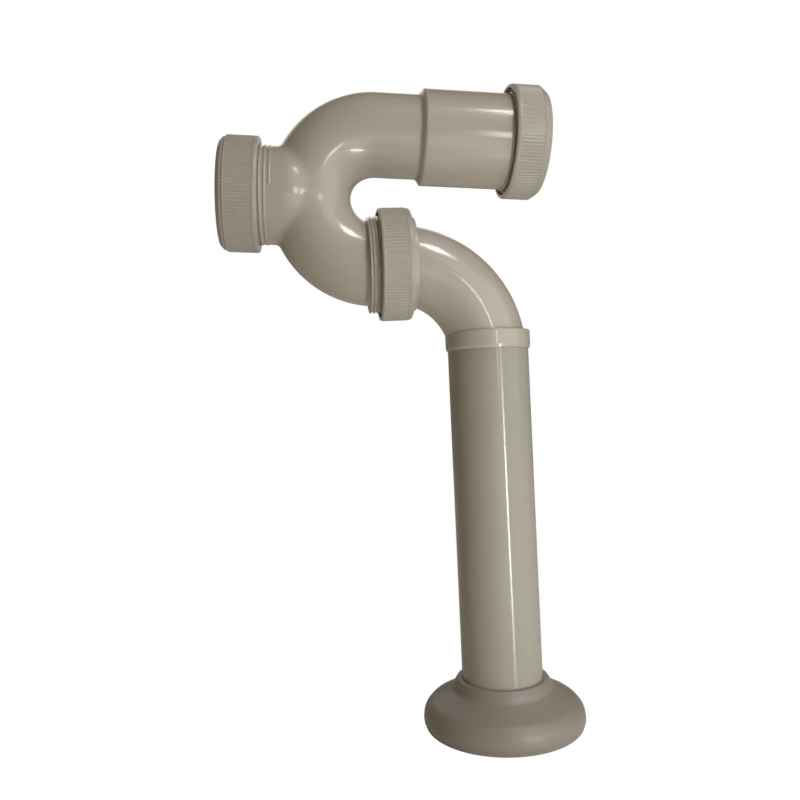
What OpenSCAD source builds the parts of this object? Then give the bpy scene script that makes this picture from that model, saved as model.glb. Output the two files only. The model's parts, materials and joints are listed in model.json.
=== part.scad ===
// P trap for a 40 mm waste: a U-shaped trap with a cleanout, joined by a
// union nut to an elbow, a straight wall pipe and a sliding wall flange.
// The assembly stands on the flange's rim: +Z runs up the wall pipe, +X points
// to the inlet side, and the origin is the centre of the rim.

/* [Wall pipe] */
// Outer diameter of the waste pipe
pipe_d = 40; // [38:0.5:41]
// Wall thickness of the waste pipe
pipe_wall = 3; // [1.8:0.1:3.2]
// Length of the waste pipe, from the rim plane to the stop in the elbow
pipe_len = 194.6; // [150:0.1:260]

/* [Wall flange] */
// Largest diameter of the flange
flange_d = 80.4; // [70:0.2:100]
// Height of the flange, from its rim to the top of its neck
flange_h = 23.6; // [18:0.2:30]
// Thickness of the flange's shell at its rim
flange_wall = 3; // [1.6:0.1:3.4]
// Thickness of the flange's neck around the pipe
flange_neck_wall = 2.4; // [1.6:0.1:3]

/* [Outlet elbow] */
// Outer diameter of the elbow's tube
elbow_d = 38.4; // [36:0.2:39]
// Wall thickness of the elbow's tube
elbow_wall = 2.3; // [1.8:0.1:3]
// Bend radius of the elbow's centre line
elbow_bend_r = 46; // [42:0.5:60]
// Outer diameter of the collar that holds the waste pipe
collar_d = 42; // [41.6:0.1:46]
// Height of the collar
collar_h = 9.1; // [6:0.1:12]
// Depth of the pipe socket inside the collar
collar_depth = 8; // [5:0.1:8]

/* [Trap] */
// Outer diameter of the trap's tube
tube_d = 40.2; // [38:0.2:41]
// Inner diameter of the trap's tube
tube_bore_d = 36.4; // [32:0.2:37]
// Bend radius of the U's centre line
trap_bend_r = 32; // [30:0.5:40]
// How far the U turns beyond half a circle, in degrees
trap_extra_turn = 3.5; // [1:0.5:5]
// Length of the plain tube between the U and the inlet socket
arm_len = 20.2; // [12:0.1:40]
// Length of the conical step up to the inlet socket
step_len = 2.2; // [1:0.1:6]
// Outer diameter of the inlet socket
socket_d = 46; // [45:0.1:46.4]
// Bore of the inlet socket, for a 40 mm tailpiece
socket_bore_d = 40.5; // [40.2:0.1:41]
// Length of the inlet socket, from the step to its mouth
socket_len = 52.6; // [45:0.1:70]

/* [Nuts and cap] */
// Outer diameter of the nuts and the cap
nut_d = 55; // [54:0.5:60]
// Width of the two nuts
nut_w = 17.5; // [16:0.1:20]
// Width of the cleanout cap
cap_w = 18.7; // [17:0.1:22]
// Thickness of the nuts' inward lip
lip_t = 2.4; // [1.5:0.1:3]
// Size of the chamfer at the closed end
nut_chamfer = 3.1; // [1:0.1:3.4]
// Outer diameter of the threads
thread_d = 47.2; // [46.8:0.1:47.6]
// Thread engagement of the inlet nut
inlet_grip = 10.3; // [8:0.1:11]
// Thread engagement of the cleanout cap
cap_grip = 14.1; // [10:0.1:14.4]

/* [Hidden] */
$fn = 96;

// clearances and small overlaps
slack = 0.05;      // gap between flat faces that press on each other
thread_gap = 0.3;  // gap between a thread and its nut
cut = 1;           // how far a cutter reaches past the face it cuts

// wall pipe and elbow
collar_z = pipe_len + slack - collar_depth;   // lower edge of the collar
bend_z = collar_z - 2.2;                      // where the elbow's bend starts
union_x = -elbow_bend_r;                      // where it ends, on the union axis
union_z = bend_z + elbow_bend_r;

// stations along the union axis, from the end of the elbow's bend to the trap
union_face = -10.5;                           // outer face of the union nut
shoulder_t = 1.8;
union_ring_t = 1.0;
union_seal_t = 2.5;
union_ring_at = union_face + lip_t + slack;
shoulder_at = union_ring_at + union_ring_t + slack;
union_seal_at = shoulder_at + shoulder_t + slack;
mouth_at = union_seal_at + union_seal_t + slack;
spigot_end = 6.7;
trap_at = 7.3;                                // where the U's bend starts
thread_end = 12.3;
shoulder_d = 46.4;
spigot_d = 39.2;
mouth_bore_d = 39.8;

// the U
trap_x = union_x - trap_at;
trap_z = union_z + trap_bend_r;

// stations along the inlet axis, from the end of the U
socket_at = arm_len + step_len;
socket_end = socket_at + socket_len;
inlet_nut_at = socket_end - inlet_grip;
inlet_thread_at = inlet_nut_at - 1.2;
inlet_ring_t = 1.2;
inlet_ring_at = inlet_nut_at + nut_w - lip_t - slack - inlet_ring_t;
inlet_seal_at = socket_end + slack;
inlet_seal_t = inlet_ring_at - slack - inlet_seal_at;

// stations along the cleanout axis, from the centre of the U
neck_at = trap_bend_r;
neck_full = 43;
cap_at = 55.7;
neck_end = cap_at + cap_grip;
neck_bore_d = 41.6;
cap_plate = 2.4;
cap_seal_t = cap_w - cap_grip - cap_plate - 2 * slack;

// Puts the children's +Z along the union axis, from the elbow to the trap.
module on_union_axis() {
    translate([union_x, 0, union_z])
        rotate([0, -90, 0])
            children();
}

// Puts the children's +Z along the inlet axis, from the U to the inlet.
module on_inlet_axis() {
    translate([trap_x, 0, trap_z])
        rotate([0, trap_extra_turn, 0])
            translate([0, 0, trap_bend_r])
                rotate([0, 90, 0])
                    children();
}

// Puts the children's +Z along the cleanout axis, from the U's centre outwards.
module on_cleanout_axis() {
    translate([trap_x, 0, trap_z])
        rotate([0, trap_extra_turn - 90, 0])
            children();
}

// A solid round bar bent through turn degrees about the local Z axis.
module bent_bar(bend_r, d, turn) {
    rotate_extrude(angle = turn)
        translate([bend_r, 0])
            circle(d = d);
}

// A flat ring on the local Z axis.
module ring(outer_d, inner_d, t) {
    difference() {
        cylinder(d = outer_d, h = t);
        translate([0, 0, -cut])
            cylinder(d = inner_d, h = t + 2 * cut);
    }
}

// The outside of a nut or cap: open end at z = 0, chamfered end at z = w.
module nut_blank(w) {
    r = nut_d / 2;
    edge = 1;
    rotate_extrude()
        polygon([
            [0, 0], [r - edge, 0], [r, edge],
            [r, w - nut_chamfer], [r - nut_chamfer, w], [0, w]
        ]);
}

// The hollow of a nut or cap, of the given depth, with its flared mouth.
module nut_hollow(depth) {
    mouth_d = 51.4;
    mouth_depth = 2.4;
    translate([0, 0, -cut])
        cylinder(d = mouth_d, h = mouth_depth + cut);
    cylinder(d = thread_d + 2 * thread_gap, h = depth);
}

// A nut with an inward lip around a hole.
module slip_nut(hole_d) {
    difference() {
        nut_blank(nut_w);
        nut_hollow(nut_w - lip_t);
        cylinder(d = hole_d, h = nut_w + cut);
    }
}

// The U's solid shape, or its bore, depending on the diameter.
module trap_bend(d) {
    translate([trap_x, 0, trap_z])
        rotate([90, 0, 0])
            rotate([0, 0, 90 - trap_extra_turn])
                bent_bar(trap_bend_r, d, 180 + trap_extra_turn);
}

// The elbow's solid shape, or its bore, depending on the diameter.
module elbow_bend(d) {
    translate([-elbow_bend_r, 0, bend_z])
        rotate([90, 0, 0])
            bent_bar(elbow_bend_r, d, 90);
}

module trap_outside() {
    trap_bend(tube_d);
    on_union_axis()
        translate([0, 0, mouth_at])
            cylinder(d = thread_d, h = thread_end - mouth_at);
    on_inlet_axis() {
        cylinder(d = tube_d, h = arm_len);
        translate([0, 0, arm_len])
            cylinder(d1 = tube_d, d2 = socket_d, h = step_len);
        translate([0, 0, socket_at])
            cylinder(d = socket_d, h = inlet_thread_at - socket_at);
        translate([0, 0, inlet_thread_at])
            cylinder(d = thread_d, h = socket_end - inlet_thread_at);
    }
    on_cleanout_axis() {
        neck_root_d = 39.2;
        translate([0, 0, neck_at])
            cylinder(d1 = neck_root_d, d2 = thread_d, h = neck_full - neck_at);
        translate([0, 0, neck_full])
            cylinder(d = thread_d, h = neck_end - neck_full);
    }
}

module trap_inside() {
    shoulder_wall = 2;
    trap_bend(tube_bore_d);
    on_union_axis()
        translate([0, 0, mouth_at - cut])
            cylinder(d = mouth_bore_d, h = trap_at - mouth_at + cut);
    on_inlet_axis() {
        cylinder(d = tube_bore_d, h = socket_at + shoulder_wall);
        translate([0, 0, socket_at + shoulder_wall])
            cylinder(d = socket_bore_d, h = socket_len);
    }
    on_cleanout_axis() {
        neck_bore_root_d = 34;
        neck_bore_at = neck_at - 1;
        translate([0, 0, neck_bore_at])
            cylinder(d1 = neck_bore_root_d, d2 = neck_bore_d, h = neck_full - neck_bore_at);
        translate([0, 0, neck_full])
            cylinder(d = neck_bore_d, h = neck_end - neck_full + cut);
    }
}

module trap_body() {
    color([0.66, 0.64, 0.58])
        difference() {
            trap_outside();
            trap_inside();
        }
}

module inlet_nut() {
    hole_d = 42;
    color([0.68, 0.66, 0.61])
        on_inlet_axis()
            translate([0, 0, inlet_nut_at])
                slip_nut(hole_d);
}

module inlet_slip_ring() {
    color([0.85, 0.84, 0.80])
        on_inlet_axis()
            translate([0, 0, inlet_ring_at])
                ring(thread_d - 0.4, 41.2, inlet_ring_t);
}

module inlet_seal() {
    seal_inner_d = 41.4;
    seal_outer_d = thread_d - 0.4;
    seal_tip_d = socket_bore_d + 3;
    color([0.16, 0.16, 0.16])
        on_inlet_axis()
            translate([0, 0, inlet_seal_at])
                difference() {
                    cylinder(d1 = seal_outer_d, d2 = seal_tip_d, h = inlet_seal_t);
                    translate([0, 0, -cut])
                        cylinder(d = seal_inner_d, h = inlet_seal_t + 2 * cut);
                }
}

module cleanout_cap() {
    color([0.68, 0.66, 0.61])
        on_cleanout_axis()
            translate([0, 0, cap_at])
                difference() {
                    nut_blank(cap_w);
                    nut_hollow(cap_w - cap_plate);
                }
}

module cleanout_seal() {
    color([0.16, 0.16, 0.16])
        on_cleanout_axis()
            translate([0, 0, neck_end + slack])
                ring(thread_d - 0.4, neck_bore_d - 1, cap_seal_t);
}

module union_nut() {
    hole_d = 44;
    color([0.68, 0.66, 0.61])
        on_union_axis()
            translate([0, 0, union_face + nut_w])
                mirror([0, 0, 1])
                    slip_nut(hole_d);
}

module union_slip_ring() {
    ring_inner_d = 43.8;
    color([0.85, 0.84, 0.80])
        on_union_axis()
            translate([0, 0, union_ring_at])
                ring(shoulder_d + 0.2, ring_inner_d, union_ring_t);
}

module union_seal() {
    color([0.16, 0.16, 0.16])
        on_union_axis()
            translate([0, 0, union_seal_at])
                ring(shoulder_d, mouth_bore_d, union_seal_t);
}

module outlet_elbow() {
    elbow_bore_d = elbow_d - 2 * elbow_wall;
    socket_gap = 0.1;
    color([0.66, 0.64, 0.58])
        difference() {
            union() {
                elbow_bend(elbow_d);
                translate([0, 0, collar_z])
                    cylinder(d = collar_d, h = collar_h);
                on_union_axis() {
                    translate([0, 0, shoulder_at])
                        cylinder(d = shoulder_d, h = shoulder_t);
                    translate([0, 0, union_seal_at - slack])
                        cylinder(d = spigot_d, h = spigot_end - union_seal_at + slack);
                }
            }
            elbow_bend(elbow_bore_d);
            on_union_axis()
                cylinder(d = elbow_bore_d, h = spigot_end + cut);
            translate([0, 0, bend_z - cut])
                cylinder(d = pipe_d + socket_gap, h = pipe_len + slack - bend_z + cut);
        }
}

module wall_pipe() {
    color([0.66, 0.64, 0.58])
        ring(pipe_d, pipe_d - 2 * pipe_wall, pipe_len);
}

module wall_flange() {
    r = flange_d / 2;
    hole_r = pipe_d / 2 + 0.3;
    neck_r = hole_r + flange_neck_wall;
    color([0.66, 0.64, 0.58])
        rotate_extrude()
            polygon([
                // outside, from the rim up to the neck
                [r - 1, 0], [r, 2], [r - 0.3, 7.2], [r - 4, 11.6], [r - 10.2, 15],
                [neck_r + 2.2, flange_h - 4.1], [neck_r, flange_h - 1], [neck_r - 0.6, flange_h],
                // down the hole and back under the dome
                [hole_r, flange_h], [hole_r, flange_h - 6.6],
                [r - 11.6, 12.4], [r - 5.4, 9.2], [r - flange_wall - 0.6, 6.4], [r - flange_wall - 0.6, 0]
            ]);
}

trap_body();
inlet_nut();
inlet_slip_ring();
inlet_seal();
cleanout_cap();
cleanout_seal();
union_nut();
union_slip_ring();
union_seal();
outlet_elbow();
wall_pipe();
wall_flange();
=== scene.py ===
"""Looks of a plastic P trap that stands on its wall flange.

Lengths are millimetres in the row frame until an object is made, and metres
from then on. Every turned piece is drawn along the local Z of its own axis.
"""
import json
import math

import bpy
import numpy as np
from mathutils import Matrix, Vector


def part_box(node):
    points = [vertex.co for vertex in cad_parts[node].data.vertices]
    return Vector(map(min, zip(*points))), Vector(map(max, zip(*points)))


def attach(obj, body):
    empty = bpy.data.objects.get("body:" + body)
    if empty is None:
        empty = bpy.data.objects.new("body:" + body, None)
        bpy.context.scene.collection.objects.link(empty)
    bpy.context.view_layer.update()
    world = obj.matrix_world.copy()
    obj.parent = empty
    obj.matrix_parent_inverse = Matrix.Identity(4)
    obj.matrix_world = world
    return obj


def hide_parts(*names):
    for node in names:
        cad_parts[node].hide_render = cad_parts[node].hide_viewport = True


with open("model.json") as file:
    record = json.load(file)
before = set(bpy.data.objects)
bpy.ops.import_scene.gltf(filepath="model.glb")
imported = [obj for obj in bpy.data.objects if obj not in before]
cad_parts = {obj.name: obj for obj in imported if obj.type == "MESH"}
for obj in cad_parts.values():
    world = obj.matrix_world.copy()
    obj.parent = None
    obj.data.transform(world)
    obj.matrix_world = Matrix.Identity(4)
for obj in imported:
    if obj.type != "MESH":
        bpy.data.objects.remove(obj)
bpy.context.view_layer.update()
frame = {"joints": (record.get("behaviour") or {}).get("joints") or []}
joints = {joint["name"]: joint for joint in frame["joints"]}

MM = 0.001


# ---------------------------------------------------------------- sizes, mm

PIPE_R = 20.0
PIPE_BORE_R = 17.0
PIPE_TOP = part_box("wall_pipe")[1].z / MM

ELBOW_BEND_R = 46.0
ELBOW_R_PIPE_END = 18.95
ELBOW_R_UNION_END = 19.45
ELBOW_BORE_R = 16.9
COLLAR_R = 21.0
COLLAR_BORE_R = 20.05
COLLAR_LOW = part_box("outlet_elbow")[0].z / MM
COLLAR_HIGH = COLLAR_LOW + 9.1
PIPE_SEAT_GAP = 0.05           # between the pipe's end and its seat in the elbow
SPIGOT_R = 19.6
SPIGOT_END = 6.7
SHOULDER = (-7.0, -5.2)        # along the union axis
SHOULDER_R = 23.2

TUBE_R = 20.1
TUBE_BORE_R = 18.2
TRAP_BEND_R = 32.0
ARM_END = 20.2
SOCKET_START = 22.4
SOCKET_R = 23.0
SOCKET_BORE_R = 20.25
SOCKET_BORE_START = 24.4
SOCKET_END = 75.0
UNION_MOUTH = -2.6
UNION_THREAD_END = 12.3
UNION_BORE_R = 19.9
TRAP_START = 7.3
NECK_R = 23.3
NECK_ROOT_R = TUBE_R - 0.6
NECK_START = 26.0
NECK_FLARE = (24.0, 44.0)      # where the neck widens, along the cleanout axis
NECK_BORE_R = 20.8
NECK_BORE_ROOT_R = 15.5
NECK_BORE_START = 28.0
NECK_BORE_FLARE = (26.0, 44.0)
NECK_END = 69.8

THREAD_R = 23.8                # crest of the socket's and the neck's thread
UNION_THREAD_R = 23.6
THREAD_DEPTH = 0.9
THREAD_SINK = 0.6              # how far a thread sleeve reaches below its root
COARSE_PITCH = 2.309
FINE_PITCH = 1.814
CLEANOUT_THREAD_START = 48.6
INLET_THREAD_START = 61.6
BORE_CREST_R = 24.1            # crest of the threads inside the nuts

NUT_R = 27.5
NUT_W = 17.5
NUT_MOUTH_R = 25.7
CAP_MOUTH_R = 24.2
UNION_NUT_W = 15.5             # without the ring on its face
UNION_LIP_RING = (22.1, 22.9, 2.0)   # inner and outer radius and height
CAP_W = 18.65
CAP_PLATE = 2.4
LIP = 2.4
RIBS = 108
RIB_DEPTH = 0.36
UNION_NUT_AT = 7.0             # open end, along the union axis
INLET_NUT_AT = 64.7            # open end, along the inlet axis
CAP_AT = 55.7                  # open end, along the cleanout axis
CAP_PIVOT = 65.0               # where the cap's hinge stands on that axis

FLANGE_R = 40.2
FLANGE_BORE_R = 36.6           # inside the rim
FLANGE_HOLE_R = 20.04
FLANGE_H = 23.6

NOWHERE = 1e3                  # a distance far outside any surface


# ---------------------------------------------------------------- axes

class Axis:
    """A line with an origin; +Z of its local space runs along it."""

    def __init__(self, origin, direction):
        self.d = np.array(Vector(direction).normalized())
        self.v = np.array((0.0, 1.0, 0.0))
        if abs(self.d[1]) > 0.5:
            self.v = np.array((1.0, 0.0, 0.0))
        self.u = np.cross(self.v, self.d)
        self.origin = np.array(origin, float)

    def place(self, local):
        return self.origin + local @ np.array((self.u, self.v, self.d))

    def measure(self, points):
        """Station along the line and distance from it."""
        rel = points - self.origin
        along = rel @ self.d
        return along, np.linalg.norm(rel - along[:, None] * self.d, axis=1)


def joint_axis(name, station, sign=1.0):
    """The axis of a hinge, with its origin moved so that the pivot is at station."""
    direction = np.array(joints[name]["axis"]) * sign
    direction /= np.linalg.norm(direction)
    return Axis(np.array(joints[name]["pos_m"]) / MM - station * direction, direction)


PIPE_AXIS = Axis((0, 0, 0), (0, 0, 1))
UNION_AXIS = joint_axis("trap_swivel", 0.0, -1.0)
INLET_AXIS = joint_axis("inlet_nut_turn", SOCKET_END)
CLEANOUT_AXIS = joint_axis("cap_turn", CAP_PIVOT)
TRAP_CENTRE = CLEANOUT_AXIS.origin
ELBOW_CENTRE = UNION_AXIS.origin - np.array((0, 0, ELBOW_BEND_R))


# ---------------------------------------------------------------- mesh tools

def smoothstep(x, low, high):
    t = np.clip((x - low) / (high - low), 0.0, 1.0)
    return t * t * (3.0 - 2.0 * t)


def rounded(corners, steps=5):
    """A closed outline from (r, z, fillet radius) corners, each fillet an arc."""
    pts = [np.array(c[:2], float) for c in corners]
    out = []
    for i, corner in enumerate(corners):
        here, before, after = pts[i], pts[i - 1], pts[(i + 1) % len(pts)]
        fillet = corner[2]
        if fillet <= 0:
            out.append(here)
            continue
        to_before = (before - here) / np.linalg.norm(before - here)
        to_after = (after - here) / np.linalg.norm(after - here)
        half = math.acos(np.clip(to_before @ to_after, -1, 1)) / 2
        if half > math.radians(88):
            out.append(here)
            continue
        reach = fillet / math.tan(half)
        middle = to_before + to_after
        centre = here + middle / np.linalg.norm(middle) * fillet / math.sin(half)
        start = here + to_before * reach - centre
        end = here + to_after * reach - centre
        sweep = math.atan2(start[0] * end[1] - start[1] * end[0], start @ end)
        for k in range(steps + 1):
            a = sweep * k / steps
            turn = np.array(((math.cos(a), -math.sin(a)), (math.sin(a), math.cos(a))))
            out.append(centre + turn @ start)
    return np.array(out)


def divided(outline, step):
    """The outline with its long sides cut into pieces no longer than step."""
    out = []
    for a, b in zip(outline, np.roll(outline, -1, axis=0)):
        n = max(1, math.ceil(np.linalg.norm(b - a) / step))
        out += [a + (b - a) * k / n for k in range(n)]
    return np.array(out)


def turned(outline, axis, segments=192, reshape=None):
    """Vertices and quads of a closed (r, z) outline turned about an axis."""
    theta = np.arange(segments) * 2 * math.pi / segments
    r = np.repeat(outline[:, 0][:, None], segments, axis=1)
    z = np.repeat(outline[:, 1][:, None], segments, axis=1)
    t = np.repeat(theta[None, :], len(outline), axis=0)
    if reshape is not None:
        r = reshape(r, z, t)
    local = np.stack((r * np.cos(t), r * np.sin(t), z), -1).reshape(-1, 3)
    i = np.arange(len(outline))[:, None] * segments
    j = np.roll(np.arange(len(outline)), -1)[:, None] * segments
    k = np.arange(segments)[None, :]
    m = np.roll(np.arange(segments), -1)[None, :]
    quads = np.stack((i + k, i + m, j + m, j + k), -1).reshape(-1, 4)
    return axis.place(local), quads


def thread_wave(z, theta, pitch, crest_at=0.0):
    """0 in the root and 1 on the crest of a right-handed thread.

    Seen from -Y the crest passes the station crest_at.
    """
    turn = np.mod((z - crest_at) / pitch - theta / (2 * math.pi) + 1.25, 1.0)
    return 1.0 - smoothstep(np.abs(turn - 0.5) * 2.0, 0.2, 0.9)


def smooth_min(a, b, k):
    """The smaller of two distances, with a fillet of about k where they meet."""
    h = np.clip(0.5 + 0.5 * (b - a) / k, 0.0, 1.0)
    return b + (a - b) * h - k * h * (1.0 - h)


def smooth_max(a, b, k):
    return -smooth_min(-a, -b, k)


def bent_rod(centre, bend_r, radius):
    """Signed distance to a whole ring in the XZ plane, radius given by angle."""
    def distance(p):
        x, z = p[:, 0] - centre[0], p[:, 2] - centre[2]
        r = radius(np.arctan2(z, x)) if callable(radius) else radius
        return np.hypot(np.hypot(x, z) - bend_r, p[:, 1]) - r
    return distance


def gradient(field, p, h=0.02):
    """Slope of a field at points, by central differences."""
    steps = np.eye(3) * h
    return np.stack([(field(p + s) - field(p - s)) / (2 * h) for s in steps], -1)


def neighbour_mean(verts, quads):
    """For each vertex, the mean of the vertices that it shares an edge with."""
    total = np.zeros_like(verts)
    count = np.zeros(len(verts))
    for a in range(4):
        for b in (quads[:, (a + 1) % 4], quads[:, a - 1]):
            np.add.at(total, quads[:, a], verts[b])
            np.add.at(count, quads[:, a], 1)
    return total / count[:, None]


def skin(field, low, high, step):
    """Quads on the surface where a signed distance field is zero.

    Each grid cell that the surface crosses gets one vertex, the mean of the
    crossings on its edges, and each crossed edge gets a quad from its four cells.
    The vertices are then evened out and moved onto the surface.
    """
    low = np.array(low, float)
    n = np.ceil((np.array(high) - low) / step).astype(int) + 1
    lines = [low[a] + step * np.arange(n[a]) for a in range(3)]
    grid = np.stack(np.meshgrid(*lines, indexing="ij"), -1).reshape(-1, 3)
    value = np.concatenate([field(part) for part in np.array_split(grid, 16)]).reshape(n)
    cells = n - 1
    total = np.zeros((np.prod(cells), 3))
    count = np.zeros(np.prod(cells))
    quads = []
    for a in range(3):
        b, c = (a + 1) % 3, (a + 2) % 3
        near = [slice(None)] * 3
        far = [slice(None)] * 3
        near[a], far[a] = slice(0, -1), slice(1, None)
        va, vb = value[tuple(near)], value[tuple(far)]
        at = np.argwhere((va < 0) != (vb < 0))
        at = at[(at[:, b] > 0) & (at[:, b] < n[b] - 1) & (at[:, c] > 0) & (at[:, c] < n[c] - 1)]
        start, end = va[tuple(at.T)], vb[tuple(at.T)]
        points = low + step * at
        points[:, a] += step * start / (start - end)
        ring = []
        for shift_b, shift_c in ((-1, -1), (0, -1), (0, 0), (-1, 0)):
            cell = at.copy()
            cell[:, b] += shift_b
            cell[:, c] += shift_c
            index = np.ravel_multi_index(cell.T, cells)
            np.add.at(total, index, points)
            np.add.at(count, index, 1)
            ring.append(index)
        ring = np.stack(ring, 1)
        ring[start > 0] = ring[start > 0][:, ::-1]
        quads.append(ring)
    used = np.nonzero(count)[0]
    number = np.zeros(len(count), int)
    number[used] = np.arange(len(used))
    verts = total[used] / count[used, None]
    quads = number[np.concatenate(quads)]
    for smoothing in (0.0, 0.6, 0.6, 0.5, 0.0):
        verts += smoothing * (neighbour_mean(verts, quads) - verts)
        for _ in range(2):
            slope = gradient(field, verts)
            size = np.maximum((slope ** 2).sum(1), 0.2)
            move = (field(verts) / size)[:, None] * slope
            verts -= np.clip(move, -step, step)
    return verts, quads


def piece(name, shapes, material, body, node, sharp=40.0):
    """One object from one or more (vertices, quads) shapes; it stands for a CAD node."""
    verts = np.concatenate([s[0] for s in shapes]) * MM
    first = np.cumsum([0] + [len(s[0]) for s in shapes])
    quads = np.concatenate([s[1] + f for s, f in zip(shapes, first)])
    mesh = bpy.data.meshes.new(name)
    mesh.vertices.add(len(verts))
    mesh.vertices.foreach_set("co", verts.astype(np.float32).ravel())
    mesh.loops.add(quads.size)
    mesh.loops.foreach_set("vertex_index", quads.astype(np.int32).ravel())
    mesh.polygons.add(len(quads))
    mesh.polygons.foreach_set("loop_start", np.arange(len(quads), dtype=np.int32) * 4)
    mesh.update(calc_edges=True)
    mesh.validate()
    mesh.shade_smooth()
    mesh.set_sharp_from_angle(angle=math.radians(sharp))
    mesh.materials.append(material)
    obj = bpy.data.objects.new(name, mesh)
    bpy.context.scene.collection.objects.link(obj)
    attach(obj, body)
    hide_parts(node)


# ---------------------------------------------------------------- materials

def plastic(name, color, roughness, mottle=0.02, grain=0.03, coat=0.0, anisotropic=0.0):
    """Moulded plastic: faint cloudy colour, uneven gloss and a fine surface ripple."""
    mat = bpy.data.materials.new(name)
    mat.use_nodes = True
    nodes, links = mat.node_tree.nodes, mat.node_tree.links
    nodes.clear()
    out = nodes.new("ShaderNodeOutputMaterial")
    shader = nodes.new("ShaderNodeBsdfPrincipled")
    links.new(shader.outputs["BSDF"], out.inputs["Surface"])
    place = nodes.new("ShaderNodeTexCoord")

    def noise(scale, detail):
        tex = nodes.new("ShaderNodeTexNoise")
        tex.inputs["Scale"].default_value = scale
        tex.inputs["Detail"].default_value = detail
        links.new(place.outputs["Object"], tex.inputs["Vector"])
        return tex

    cloud = noise(28.0, 3.0)
    tint = nodes.new("ShaderNodeValToRGB")
    tint.color_ramp.elements[0].position = 0.3
    tint.color_ramp.elements[1].position = 0.7
    tint.color_ramp.elements[0].color = (*[c * (1 - mottle) for c in color], 1)
    tint.color_ramp.elements[1].color = (*[c * (1 + mottle) for c in color], 1)
    links.new(cloud.outputs["Fac"], tint.inputs["Fac"])
    links.new(tint.outputs["Color"], shader.inputs["Base Color"])

    wipe = noise(90.0, 4.0)
    gloss = nodes.new("ShaderNodeMapRange")
    gloss.inputs["From Min"].default_value = 0.3
    gloss.inputs["From Max"].default_value = 0.7
    gloss.inputs["To Min"].default_value = roughness * 0.94
    gloss.inputs["To Max"].default_value = roughness * 1.06
    links.new(wipe.outputs["Fac"], gloss.inputs["Value"])
    links.new(gloss.outputs["Result"], shader.inputs["Roughness"])

    ripple = noise(420.0, 2.0)
    bump = nodes.new("ShaderNodeBump")
    bump.inputs["Strength"].default_value = grain
    bump.inputs["Distance"].default_value = 0.0004
    links.new(ripple.outputs["Fac"], bump.inputs["Height"])
    links.new(bump.outputs["Normal"], shader.inputs["Normal"])

    shader.inputs["IOR"].default_value = 1.5
    shader.inputs["Coat Weight"].default_value = coat
    shader.inputs["Coat Roughness"].default_value = 0.14
    shader.inputs["Anisotropic"].default_value = anisotropic
    if anisotropic:
        tangent = nodes.new("ShaderNodeTangent")
        tangent.direction_type = "RADIAL"
        tangent.axis = "Z"
        links.new(tangent.outputs["Tangent"], shader.inputs["Tangent"])
        shader.inputs["Anisotropic Rotation"].default_value = 0.25
    return mat


trap_plastic = plastic("trap_plastic", (0.445, 0.41, 0.34), 0.42, grain=0.05, coat=1.0)
nut_plastic = plastic("nut_plastic", (0.43, 0.407, 0.347), 0.34, grain=0.05)
pipe_plastic = plastic("pipe_plastic", (0.35, 0.333, 0.28), 0.2, grain=0.0, anisotropic=1.0)
# Darkened copy of the plastic: painted shade for the flange's dome, which faces up, away from the
# lights.
flange_plastic = plastic("flange_plastic", (0.25, 0.223, 0.187), 0.42, grain=0.05)
ring_plastic = plastic("ring_plastic", (0.72, 0.70, 0.64), 0.4)
seal_rubber = plastic("seal_rubber", (0.025, 0.025, 0.027), 0.7, grain=0.2)


# ---------------------------------------------------------------- trap body

def trap_tube(radius, socket_radius, socket_step):
    """Signed distance to the U with its two arms: a ring in the bend, rods past its ends."""
    ring = bent_rod(TRAP_CENTRE, TRAP_BEND_R, radius)

    def distance(p):
        rel = p - TRAP_CENTRE
        along, off = INLET_AXIS.measure(p)
        grown = radius + (socket_radius - radius) * np.clip(
            (along - socket_step[0]) / (socket_step[1] - socket_step[0]), 0, 1)
        arm = np.where(along >= 0, off - grown, NOWHERE)
        station, off = UNION_AXIS.measure(p)
        leg = np.where(station <= TRAP_START, off - radius, NOWHERE)
        in_bend = np.where(rel[:, 2] > 0, along < 0, station > TRAP_START)
        bend = np.where(in_bend, ring(p), NOWHERE)
        return np.minimum(np.minimum(arm, leg), bend)
    return distance


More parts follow.
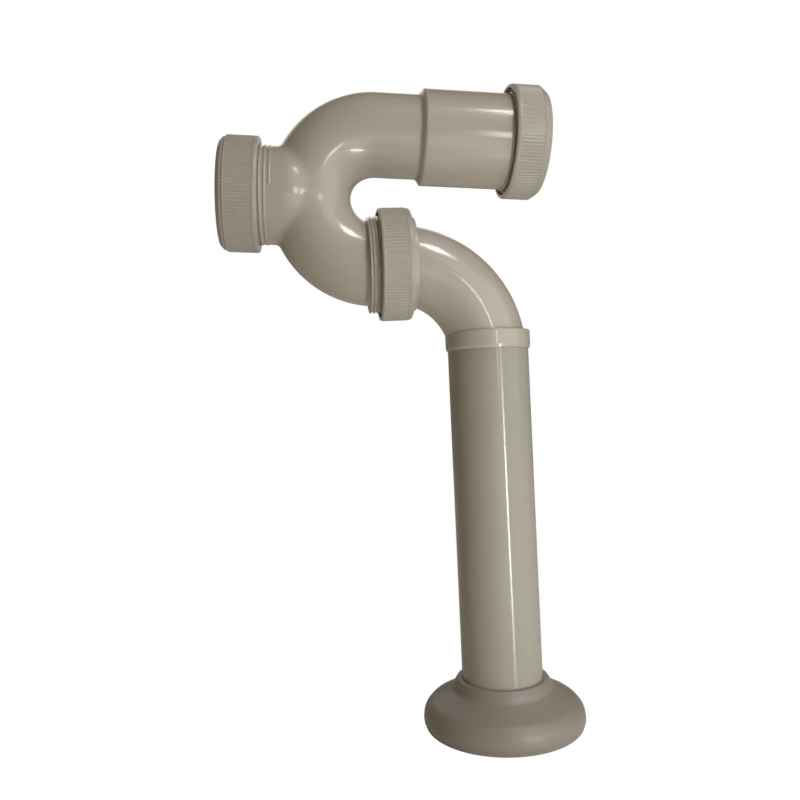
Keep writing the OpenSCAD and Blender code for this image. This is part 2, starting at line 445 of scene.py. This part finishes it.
def trap_field(p):
    """Signed distance to the trap body: tube, neck and union mouth, less their bores."""
    station_in, off_in = INLET_AXIS.measure(p)
    station_un, off_un = UNION_AXIS.measure(p)
    station_cl, off_cl = CLEANOUT_AXIS.measure(p)

    tube = trap_tube(TUBE_R, SOCKET_R, (ARM_END, SOCKET_START))(p)
    tube = np.maximum(tube, station_in - SOCKET_END)
    lower_half = p[:, 2] < TRAP_CENTRE[2]
    tube = np.maximum(tube, np.where(lower_half, UNION_MOUTH - station_un, -NOWHERE))

    # the neck widens from about the tube's own width as it leaves the bend
    neck_r = NECK_ROOT_R + (NECK_R - NECK_ROOT_R) * smoothstep(station_cl, *NECK_FLARE)
    neck = np.maximum(off_cl - neck_r, np.maximum(NECK_START - station_cl, station_cl - NECK_END))
    outside = smooth_min(tube, neck, 2.2)

    collar = np.maximum(
        off_un - (UNION_THREAD_R - THREAD_DEPTH),
        np.maximum(UNION_MOUTH - station_un, station_un - UNION_THREAD_END))
    outside = smooth_min(outside, collar, 0.6)

    bore = trap_tube(TUBE_BORE_R, TUBE_BORE_R, (NOWHERE, NOWHERE + 1))(p)
    flare = smoothstep(station_cl, *NECK_BORE_FLARE)
    neck_bore_r = NECK_BORE_ROOT_R + (NECK_BORE_R - NECK_BORE_ROOT_R) * flare
    neck_bore = np.maximum(off_cl - neck_bore_r, NECK_BORE_START - station_cl)
    bore = smooth_min(bore, neck_bore, 2.0)
    socket_bore = np.maximum(off_in - SOCKET_BORE_R, SOCKET_BORE_START - station_in)
    mouth_bore = np.maximum(off_un - UNION_BORE_R, station_un - TRAP_START)
    mouth_bore = np.where(lower_half, mouth_bore, NOWHERE)
    bore = np.minimum(bore, np.minimum(socket_bore, mouth_bore))
    return smooth_max(outside, -bore, 0.5)


def thread_sleeve(axis, start, end, crest, pitch, crest_at, plain_end=None, depth=THREAD_DEPTH):
    """The threaded outside of a spigot, sunk into the body's own wall.

    Up to plain_end the sleeve is plain at the thread's root, and the thread
    rises from there within its first turn.
    """
    inner = crest - THREAD_DEPTH - THREAD_SINK
    corners = [(inner, start, 0), (crest, start, 0.25), (crest, end, 0.25), (inner, end, 0)]
    outline = divided(rounded(corners), 0.2)
    if plain_end is None:
        plain_end = start - 9.0

    def reshape(r, z, theta):
        turn_share = np.mod(theta / (2 * math.pi) + 0.25, 1.0)
        run = smoothstep(z - pitch * turn_share, plain_end, plain_end + pitch)
        wave = thread_wave(z, theta, pitch, crest_at) * run
        lowered = crest - depth * (1.0 - wave)
        return np.where(r > inner + 0.3, np.minimum(r, lowered), r)

    return turned(outline, axis, 256, reshape)


def make_trap():
    low = [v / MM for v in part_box("trap_body")[0]]
    high = [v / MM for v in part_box("trap_body")[1]]
    step = 0.75
    shell = skin(trap_field, [v - 2 * step for v in low], [v + 2 * step for v in high], step)
    piece("trap_shell", [shell], trap_plastic, "trap", "trap_body", sharp=60)
    threads = [
        thread_sleeve(
            UNION_AXIS, UNION_MOUTH, UNION_THREAD_END, UNION_THREAD_R, FINE_PITCH, crest_at=10.4),
        thread_sleeve(
            CLEANOUT_AXIS, CLEANOUT_THREAD_START, NECK_END, THREAD_R - 0.1, COARSE_PITCH,
            crest_at=52.6, plain_end=48.0, depth=0.55),
        thread_sleeve(
            INLET_AXIS, INLET_THREAD_START, SOCKET_END, THREAD_R, COARSE_PITCH,
            crest_at=63.9, plain_end=61.8),
    ]
    piece("trap_threads", threads, trap_plastic, "trap", "trap_body")


# ---------------------------------------------------------------- nuts and cap

def nut_face(width, kind):
    """Corners from the ribbed side over the closed end of a nut or cap.

    kind is "chamfer" for the inlet nut, "cap" for the cap and "round" for the union nut.
    """
    if kind == "chamfer":
        return [
            (NUT_R, width - 3.7, 0.15), (NUT_R - 0.55, width - 3.6, 0.15),
            (NUT_R - 0.6, width - 2.9, 0.9), (NUT_R - 2.8, width, 0.8)]
    if kind == "cap":
        return [
            (NUT_R, width - 3.4, 0.15), (NUT_R - 0.6, width - 3.3, 0.15),
            (NUT_R - 0.8, width - 1.8, 1.2), (NUT_R - 2.6, width, 1.0)]
    return [
        (NUT_R, width - 2.5, 0.15), (NUT_R - 0.25, width - 2.45, 0.1),
        (NUT_R - 0.3, width, 1.3)]


def nut_outline(width, kind, hole_r, thickness, mouth_r):
    """The closed outline of a nut, or of a cap where hole_r is almost nothing."""
    corners = [
        (mouth_r, 0.0, 0.3), (NUT_R - 0.35, 0.0, 0.7), (NUT_R, 1.2, 0.5)]
    corners += nut_face(width, kind)
    if kind == "round":
        ring_in, ring_out, ring_h = UNION_LIP_RING
        corners += [
            (ring_out + 0.2, width, 0.4), (ring_out, width + ring_h, 0.3),
            (ring_in, width + ring_h, 0.3)]
    if kind == "cap":
        corners += [(20.4, width, 0.4), (19.4, width - 0.5, 0.6), (hole_r, width - 0.5, 0)]
    else:
        corners += [(hole_r, width - 0.1, 0.2)]
    inside = width - thickness
    hole_fillet = 0.0 if kind == "cap" else 0.2
    mouth_depth = 0.8 if kind == "cap" else 2.0
    corners += [
        (hole_r, inside, hole_fillet), (BORE_CREST_R, inside, 0.3),
        (BORE_CREST_R, 2.6, 0.2), (mouth_r, mouth_depth, 0.2)]
    return divided(rounded(corners), 0.3)


def ribbed(low, high, width):
    """Fine ribs round the side between two heights, and a thread in the bore."""
    def reshape(r, z, theta):
        zone = smoothstep(z, low, low + 0.35) * (1 - smoothstep(z, high - 0.35, high))
        groove = 0.5 - 0.5 * np.cos(RIBS * theta)
        outer = (r > NUT_R - 0.2) * zone
        bore = np.abs(r - BORE_CREST_R) < 0.05
        thread = bore * smoothstep(z, 2.8, 3.6) * (1 - smoothstep(z, width - 4.6, width - 3.8))
        root = 1.0 - thread_wave(z, theta, COARSE_PITCH)
        return r - RIB_DEPTH * groove ** 1.3 * outer + THREAD_DEPTH * root * thread
    return reshape


def make_nut(name, axis, start, outline, shape, body, node, flip=False):
    """A ribbed nut or cap with its open end at start; flip points it backwards."""
    segments = RIBS * 8
    placed = outline.copy()
    placed[:, 1] = start - outline[:, 1] if flip else start + outline[:, 1]

    def reshape(r, z, theta):
        own = (start - z) if flip else (z - start)
        return shape(r, own, theta)

    verts, quads = turned(placed, axis, segments, reshape)
    if flip:
        quads = quads[:, ::-1]
    piece(name, [(verts, quads)], nut_plastic, body, node, sharp=50)


def make_nuts():
    make_nut(
        "union_nut_ribbed", UNION_AXIS, UNION_NUT_AT,
        nut_outline(UNION_NUT_W, "round", 22.0, LIP - UNION_LIP_RING[2], NUT_MOUTH_R),
        ribbed(1.1, UNION_NUT_W - 2.5, UNION_NUT_W), "union_nut", "union_nut", flip=True)
    make_nut(
        "inlet_nut_ribbed", INLET_AXIS, INLET_NUT_AT,
        nut_outline(NUT_W, "chamfer", 21.0, LIP, NUT_MOUTH_R),
        ribbed(1.9, NUT_W - 3.7, NUT_W), "inlet_nut", "inlet_nut")
    make_nut(
        "cleanout_cap_ribbed", CLEANOUT_AXIS, CAP_AT,
        nut_outline(CAP_W, "cap", 0.02, CAP_PLATE, CAP_MOUTH_R),
        ribbed(2.2, CAP_W - 3.4, CAP_W), "cap", "cleanout_cap")


# ---------------------------------------------------------------- rings and seals

def square_ring(inner, outer, low, high, fillet):
    """Corners of a flat ring between two radii and two stations."""
    return [(inner, low, fillet), (outer, low, fillet), (outer, high, fillet), (inner, high, fillet)]


def make_slip_ring(name, axis, corners, body, node):
    made = turned(rounded(corners, 4), axis, 128)
    piece(name, [made], ring_plastic, body, node)


def make_seal(name, axis, corners, body, node):
    made = turned(rounded(corners, 4), axis, 128)
    piece(name, [made], seal_rubber, body, node)


def make_rings():
    make_slip_ring(
        "inlet_ring", INLET_AXIS, square_ring(20.6, 23.4, 78.55, 79.75, 0.2),
        "inlet_rings", "inlet_slip_ring")
    tapered = [(20.7, 75.05, 0.2), (23.3, 75.05, 0.4), (21.7, 78.5, 0.3), (20.7, 78.5, 0.2)]
    make_seal("inlet_seal_soft", INLET_AXIS, tapered, "inlet_rings", "inlet_seal")
    make_seal(
        "cleanout_seal_soft", CLEANOUT_AXIS, square_ring(20.4, 23.3, 69.9, 71.9, 0.4),
        "cap_seal", "cleanout_seal")
    make_slip_ring(
        "union_ring", UNION_AXIS, square_ring(22.0, 23.3, -8.05, -7.05, 0.2),
        "union_nut", "union_slip_ring")
    make_seal(
        "union_seal_soft", UNION_AXIS, square_ring(19.95, 23.15, -5.15, -2.65, 0.4),
        "union_seal", "union_seal")


# ---------------------------------------------------------------- elbow, pipe, flange

def elbow_tube(radius):
    """Signed distance to the elbow's bend and the straight run into the union."""
    ring = bent_rod(ELBOW_CENTRE, ELBOW_BEND_R, radius)

    def distance(p):
        station, off = UNION_AXIS.measure(p)
        end_r = radius(math.pi / 2) if callable(radius) else radius
        straight = np.where(station >= 0, off - end_r, NOWHERE)
        bend = np.where((station < 0) & (p[:, 0] > ELBOW_CENTRE[0]), ring(p), NOWHERE)
        bend = np.where(p[:, 2] < ELBOW_CENTRE[2] - 2, NOWHERE, bend)
        return np.minimum(straight, bend)
    return distance


def elbow_taper(angle):
    """Outside radius of the elbow, a little larger towards the union."""
    share = np.clip(angle / (math.pi / 2), 0, 1)
    return ELBOW_R_PIPE_END + (ELBOW_R_UNION_END - ELBOW_R_PIPE_END) * share


def elbow_field(p):
    """Signed distance to the elbow with its shoulder and spigot, less its bore."""
    station, off = UNION_AXIS.measure(p)
    tube = elbow_tube(elbow_taper)(p)
    tube = np.maximum(tube, station - SPIGOT_END)
    low, high = SHOULDER
    shoulder = np.maximum(off - SHOULDER_R, np.maximum(low - station, station - high))
    spigot = np.maximum(off - SPIGOT_R, np.maximum(high - 1 - station, station - SPIGOT_END))
    outside = smooth_min(tube, np.minimum(shoulder, spigot), 0.5)
    outside = np.maximum(outside, PIPE_TOP + PIPE_SEAT_GAP - p[:, 2])
    return smooth_max(outside, -elbow_tube(ELBOW_BORE_R)(p), 0.4)


def make_elbow():
    low = [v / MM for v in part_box("outlet_elbow")[0]]
    high = [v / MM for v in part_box("outlet_elbow")[1]]
    step = 0.7
    low[2] = PIPE_TOP
    shell = skin(elbow_field, [v - 2 * step for v in low], [v + 2 * step for v in high], step)
    inner_r = ELBOW_BORE_R + 0.6
    seat = PIPE_TOP + PIPE_SEAT_GAP
    corners = [
        (COLLAR_BORE_R, COLLAR_LOW, 0.2), (COLLAR_R - 0.5, COLLAR_LOW, 0.3),
        (COLLAR_R, COLLAR_LOW + 1.6, 0.8), (COLLAR_R, COLLAR_HIGH, 0.9),
        (inner_r, COLLAR_HIGH, 0.2), (inner_r, seat, 0.1), (COLLAR_BORE_R, seat, 0.1)]
    collar = turned(divided(rounded(corners), 0.8), PIPE_AXIS, 192)
    piece("elbow_shell", [shell], trap_plastic, "outlet", "outlet_elbow", sharp=60)
    piece("elbow_collar", [collar], trap_plastic, "outlet", "outlet_elbow")


def make_pipe():
    outline = divided(rounded([
        (PIPE_BORE_R, 0, 0.4), (PIPE_R - 0.4, 0, 0.3), (PIPE_R, 0.6, 0.3),
        (PIPE_R, PIPE_TOP, 0.3), (PIPE_BORE_R, PIPE_TOP, 0.3)]), 4.0)
    piece("pipe_wall", [turned(outline, PIPE_AXIS, 256)],
          pipe_plastic, "outlet", "wall_pipe")


def make_flange():
    rim = [(FLANGE_BORE_R, 0.0, 0.5), (39.0, 0.0, 1.2), (FLANGE_R, 3.4, 6.0), (39.6, 8.6, 7.0)]
    dome = [(36.2, 12.4, 8.0), (30.2, 15.6, 14.0), (25.2, 18.6, 3.0)]
    neck = [(23.9, 21.2, 2.0), (22.3, FLANGE_H, 1.2), (FLANGE_HOLE_R, FLANGE_H, 0.05)]
    inside = [
        (FLANGE_HOLE_R, 17.0, 0.5), (28.6, 12.4, 4.0), (34.2, 9.2, 4.0), (FLANGE_BORE_R, 6.4, 2.0)]
    outline = divided(rounded(rim + dome + neck + inside, 10), 0.8)
    piece("flange_dome", [turned(outline, PIPE_AXIS, 256)],
          flange_plastic, "flange", "wall_flange")


make_trap()
make_nuts()
make_rings()
make_elbow()
make_pipe()
make_flange()


# ---------------------------------------------------------------- floor, light, camera

def seen_or_lit(nodes, links, lit, seen, out):
    """Pure white where the camera looks straight at it, and its own shading elsewhere."""
    mix = nodes.new("ShaderNodeMixShader")
    path = nodes.new("ShaderNodeLightPath")
    links.new(path.outputs["Is Camera Ray"], mix.inputs["Fac"])
    links.new(lit, mix.inputs[1])
    links.new(seen, mix.inputs[2])
    links.new(mix.outputs["Shader"], out.inputs["Surface"])


def make_floor():
    """A pale floor, seen as white."""
    mesh = bpy.data.meshes.new("floor")
    half = 6.0
    corners = [(-half, -half, 0), (half, -half, 0), (half, half, 0), (-half, half, 0)]
    mesh.from_pydata(corners, [], [(0, 1, 2, 3)])
    floor = bpy.data.objects.new("floor", mesh)
    bpy.context.scene.collection.objects.link(floor)
    mat = bpy.data.materials.new("floor_pale")
    mat.use_nodes = True
    nodes, links = mat.node_tree.nodes, mat.node_tree.links
    nodes.clear()
    paper = nodes.new("ShaderNodeBsdfDiffuse")
    paper.inputs["Color"].default_value = (0.9, 0.88, 0.85, 1)
    white = nodes.new("ShaderNodeEmission")
    seen_or_lit(nodes, links, paper.outputs["BSDF"], white.outputs["Emission"],
                nodes.new("ShaderNodeOutputMaterial"))
    mesh.materials.append(mat)


def area_light(name, azimuth, elevation, distance, size, power, color=(1, 1, 1), aim=(-0.03, 0, 0.17)):
    """A rectangle facing the object; azimuth 0 is the camera's side, + to the right."""
    a, e = math.radians(azimuth), math.radians(elevation)
    away = Vector((math.sin(a) * math.cos(e), -math.cos(a) * math.cos(e), math.sin(e)))
    data = bpy.data.lights.new(name, "AREA")
    data.shape = "RECTANGLE"
    data.size, data.size_y = size
    data.energy = power
    data.color = color
    lamp = bpy.data.objects.new(name, data)
    bpy.context.scene.collection.objects.link(lamp)
    lamp.location = Vector(aim) + away * distance
    lamp.rotation_euler = away.to_track_quat("Z", "Y").to_euler()


def make_lights():
    """Each light has azimuth, elevation, distance, size, power and, if not white, colour."""
    area_light("key", 50, 16, 1.1, (1.2, 0.85), 3.4, (0.88, 0.97, 1.0))
    area_light("window", 22.5, -4, 0.25, (0.01, 0.138), 0.22, aim=(0, 0, 0.09))
    area_light("pane", 20, 2, 0.5, (0.03, 0.1), 0.12, aim=(-0.06, 0, 0.25))
    area_light("upper", 36, 52, 0.8, (0.15, 0.2), 1.5, (1.0, 0.93, 0.98))
    area_light("front", 12, -8, 0.45, (0.3, 0.2), 0.14)
    area_light("top", -10, 82, 1.3, (1.0, 1.0), 0.5, (0.9, 0.9, 1.0))
    area_light("back", 185, 28, 1.3, (1.2, 0.9), 2.6, (1.0, 0.97, 0.93))


def make_world():
    """A warm fill light, seen as white."""
    world = bpy.data.worlds.new("studio")
    bpy.context.scene.world = world
    world.use_nodes = True
    nodes, links = world.node_tree.nodes, world.node_tree.links
    nodes.clear()
    fill = nodes.new("ShaderNodeBackground")
    fill.inputs["Color"].default_value = (1.0, 0.84, 0.56, 1)
    fill.inputs["Strength"].default_value = 0.17
    white = nodes.new("ShaderNodeBackground")
    white.inputs["Color"].default_value = (1, 1, 1, 1)
    seen_or_lit(nodes, links, fill.outputs["Background"], white.outputs["Background"],
                nodes.new("ShaderNodeOutputWorld"))


def make_camera():
    """A camera in front of the object, a little to its left and slightly rolled."""
    yaw, pitch, roll = 0.105, 0.003, -0.045
    place = Vector((-85.26, -379.34, 164.74)) * MM
    level = math.cos(pitch)
    forward = Vector((math.sin(yaw) * level, math.cos(yaw) * level, -math.sin(pitch)))
    right = Vector((math.cos(yaw), -math.sin(yaw), 0))
    up = right.cross(forward)
    tilted_right = right * math.cos(roll) + up * math.sin(roll)
    tilted_up = up * math.cos(roll) - right * math.sin(roll)
    data = bpy.data.cameras.new("camera")
    data.sensor_width = 36.0
    data.lens = 34.7
    camera = bpy.data.objects.new("camera", data)
    bpy.context.scene.collection.objects.link(camera)
    turn = Matrix((tilted_right, tilted_up, -forward)).transposed().to_4x4()
    camera.matrix_world = Matrix.Translation(place) @ turn
    bpy.context.scene.camera = camera


make_floor()
make_lights()
make_world()
make_camera()
bpy.context.scene.view_settings.view_transform = "Standard"
